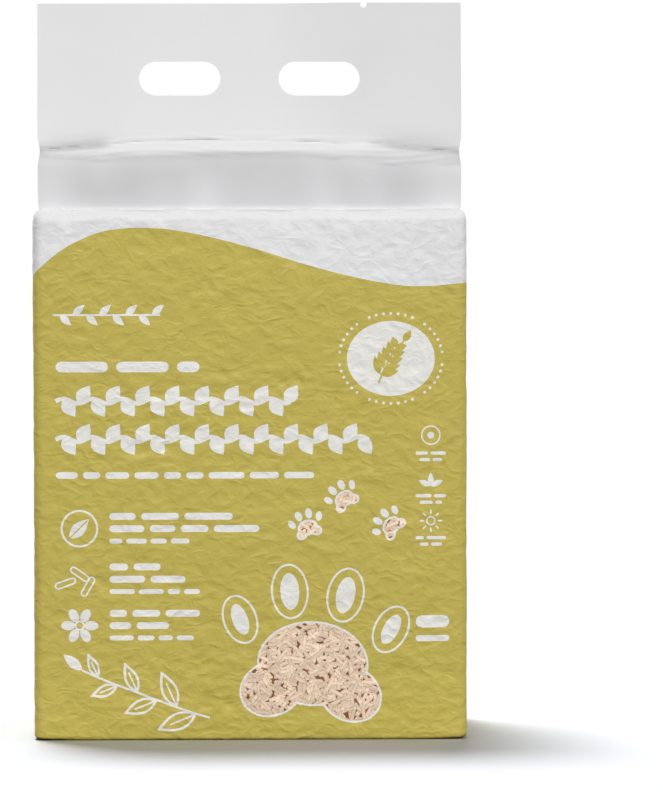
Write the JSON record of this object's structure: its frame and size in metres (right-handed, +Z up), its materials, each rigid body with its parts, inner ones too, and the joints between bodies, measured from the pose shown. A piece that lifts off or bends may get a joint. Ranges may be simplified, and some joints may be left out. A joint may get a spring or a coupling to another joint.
{
  "type": "cat litter bag",
  "caption": "Vacuum-packed film brick of cat litter, side-gusseted, with an upright flat header that has finger slots for carrying.",
  "frame": {"origin": "on the floor under the middle of the brick", "axes": "+Z up through the header, +X to the right across the printed front, -Y out of the printed front"},
  "size_m": [0.212, 0.11, 0.362],
  "materials": {
    "printed_film": "satin olive print on white polyethylene film, gripped tight over litter pellets"
  },
  "bodies": {
    "root": {"litter_bag": "printed_film"}
  },
  "joints": []
}
